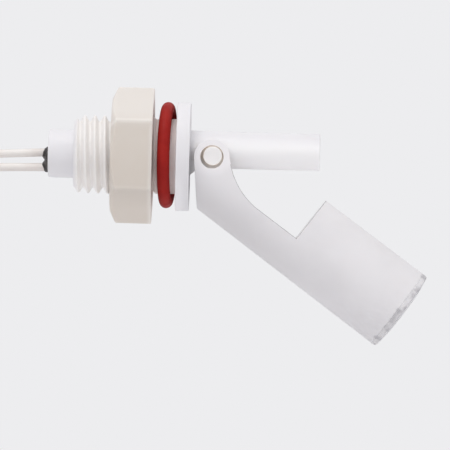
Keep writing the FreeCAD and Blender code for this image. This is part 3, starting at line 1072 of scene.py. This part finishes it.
def lead_insulation():
    made = new_material(
        "lead_insulation", (0.80, 0.76, 0.73), 0.35,
        Subsurface_Weight=0.2, Subsurface_Scale=0.25 * mm,
    )
    finish_surface(
        made, (0.82, 0.785, 0.755), (0.78, 0.73, 0.70), patch=6 * mm, rough=(0.28, 0.45),
        grain=0.3 * mm, grain_depth=0.0004 * mm, wave_depth=0.008 * mm,
    )
    return made


def plain_plastic(name, pale, deep, low, high):
    made = new_material(name, pale, (low + high) / 2)
    finish_surface(
        made, pale, deep, patch=2 * mm, rough=(low, high),
        grain=0.2 * mm, grain_depth=0.003 * mm, wave_depth=0.02 * mm,
    )
    return made


def metal(name, pale, deep, low, high):
    made = new_material(name, pale, (low + high) / 2, Metallic=1.0)
    finish_surface(
        made, pale, deep, patch=1 * mm, rough=(low, high),
        grain=0.08 * mm, grain_depth=0.002 * mm, wave_depth=0.01 * mm,
    )
    return made


def reed_glass():
    made = new_material("reed_glass", (0.86, 0.95, 0.90), 0.05, Transmission_Weight=1.0, IOR=1.5)
    tree = made.node_tree
    shader = tree.nodes["Principled BSDF"]
    bumped(tree, shader, [(object_noise(tree, 3 * mm), 0.02 * mm)])
    tint = mixed(tree, object_noise(tree, 4 * mm), (0.88, 0.97, 0.92), (0.80, 0.92, 0.86))
    tree.links.new(tint, shader.inputs["Base Color"])
    return made


def assign(material, *names):
    for name in names:
        data = nodes[name].data
        data.materials.clear()
        data.materials.append(material)


# Light, floor and background

def camera_sees(tree):
    """1 for what the camera, a gloss or glass sees, and 0 for what lights the object."""
    path = add(tree, "ShaderNodeLightPath")
    seen = path.outputs["Is Camera Ray"]
    for name in ("Is Glossy Ray", "Is Transmission Ray"):
        seen = both(tree, seen, path.outputs[name], "MAXIMUM")
    return seen


def mix_shaders(tree, factor, first, second, output):
    mix = add(tree, "ShaderNodeMixShader")
    tree.links.new(factor, mix.inputs[0])
    tree.links.new(first.outputs[0], mix.inputs[1])
    tree.links.new(second.outputs[0], mix.inputs[2])
    tree.links.new(mix.outputs[0], tree.nodes[output].inputs["Surface"])


def make_world(ambient):
    world = bpy.data.worlds.new("studio")
    world.use_nodes = True
    bpy.context.scene.world = world
    tree = world.node_tree
    shown = tree.nodes["Background"]
    shown.inputs["Color"].default_value = (*background, 1)
    light = add(tree, "ShaderNodeBackground", Strength=ambient)
    light.inputs["Color"].default_value = (1.0, 0.99, 1.0, 1)
    mix_shaders(tree, camera_sees(tree), light, shown, "World Output")


def make_floor(height, near, far):
    """Pale floor that takes the object's shadow and fades into the background."""
    mesh = bmesh.new()
    bmesh.ops.create_circle(mesh, cap_ends=True, segments=96, radius=3.0)
    floor = as_object(mesh, "floor")
    floor.location.z = height
    made = bpy.data.materials.new("floor_paper")
    made.use_nodes = True
    tree = made.node_tree
    paper = tree.nodes["Principled BSDF"]
    paper.inputs["Base Color"].default_value = (0.81, 0.81, 0.825, 1)
    paper.inputs["Roughness"].default_value = 0.9
    paper.inputs["Specular IOR Level"].default_value = 0.1
    glow = add(tree, "ShaderNodeEmission")
    glow.inputs["Color"].default_value = (*background, 1)
    away = ranged(tree, vector_length(tree, object_place(tree)), near, far, 0, 1)
    mix_shaders(tree, both(tree, away, camera_sees(tree)), paper, glow, "Material Output")
    floor.data.materials.append(made)


def make_lamp(name, place, size, power, target):
    data = bpy.data.lights.new(name, "AREA")
    data.shape = "DISK"
    data.size = size
    data.energy = power
    lamp = linked(name, data)
    lamp.location = place
    lamp.rotation_euler = (target - lamp.location).to_track_quat("-Z", "Y").to_euler()


bpy.context.scene.view_settings.view_transform = "Standard"
make_camera()

insulation = lead_insulation()
tinned = metal("tinned_copper", (0.72, 0.71, 0.68), (0.60, 0.58, 0.55), 0.25, 0.45)
tinned_upper = make_tinned_end("tinned_strands_upper", 1, ["tinned_end_upper"], tinned)
tinned_lower = make_tinned_end("tinned_strands_lower", -1, ["tinned_end_lower"], tinned)

upper_route = route_points([
    (1.0, 0, 2.33),
    (-6.5, 0, 2.33),
    (-19.5, 0, 0.52),
    (-31.6, 0.05, -0.154),
    (-42.3, 0.1, -0.75),
    (-49.5, 0.55, -8.6),
    (-49.5, 0.9, -16.6),
]) + coil_points(1)
lower_route = route_points([
    (1.0, 0, 0.13),
    (-6.5, 0, 0.13),
    (-18.0, 0, -2.62),
    (-29.4, -0.05, -2.946),
    (-40.0, -0.1, -3.25),
    (-47.3, -0.75, -10.9),
    (-49.5, -0.9, -16.6),
]) + coil_points(-1)
make_lead(
    "lead_upper", upper_route,
    ["lead_wire_upper", "lead_tail_upper", "lead_coil"], insulation,
)
make_lead(
    "lead_lower", lower_route,
    ["lead_wire_lower", "lead_tail_lower", "lead_coil"], insulation,
)

make_body(body_plastic())
make_nut(ivory_nylon())
make_ring(red_rubber())
make_float_shell(
    float_plastic("float_plastic", (0.80, 0.785, 0.80), (0.77, 0.755, 0.77), 0.8),
    plain_plastic("float_edge_shade", (0.33, 0.33, 0.33), (0.42, 0.42, 0.42), 0.5, 0.6),
)
make_float_cap(float_plastic("cap_plastic", (0.78, 0.77, 0.785), (0.70, 0.69, 0.70), 1.0))
make_potting(black_resin())

make_tie(plain_plastic("tie_nylon", (0.74, 0.74, 0.71), (0.70, 0.70, 0.67), 0.4, 0.5))

reed_alloy = metal("reed_alloy", (0.55, 0.54, 0.50), (0.48, 0.46, 0.43), 0.25, 0.4)
sleeve = plain_plastic("sleeve_plastic", (0.62, 0.60, 0.54), (0.57, 0.55, 0.50), 0.4, 0.55)
shrink = plain_plastic("shrink_sleeve", (0.02, 0.02, 0.022), (0.03, 0.03, 0.032), 0.4, 0.6)
solder = metal("solder", (0.62, 0.62, 0.62), (0.50, 0.50, 0.50), 0.3, 0.5)
ferrite = plain_plastic("ferrite", (0.035, 0.035, 0.038), (0.06, 0.058, 0.058), 0.5, 0.7)
assign(reed_alloy, "reed_blade_rear", "reed_blade_front")
assign(reed_glass(), "reed_glass")
assign(sleeve, "return_sleeve")
assign(shrink, "joint_sleeve_upper", "joint_sleeve_lower")
assign(solder, "solder_joint_upper", "solder_joint_lower")
assign(tinned, "lead_core_upper", "lead_core_lower")
assign(ferrite, "float_magnet")

lit_point = Vector((0.01, 0, -0.01))
make_world(ambient=0.69)
make_floor(height=-85 * mm, near=0.13, far=0.26)
make_lamp("key", Vector((-0.15, -0.35, 0.9)), size=0.7, power=3.8, target=lit_point)
make_lamp("fill", Vector((-0.1, -0.8, 0.15)), size=0.4, power=0.45, target=lit_point)
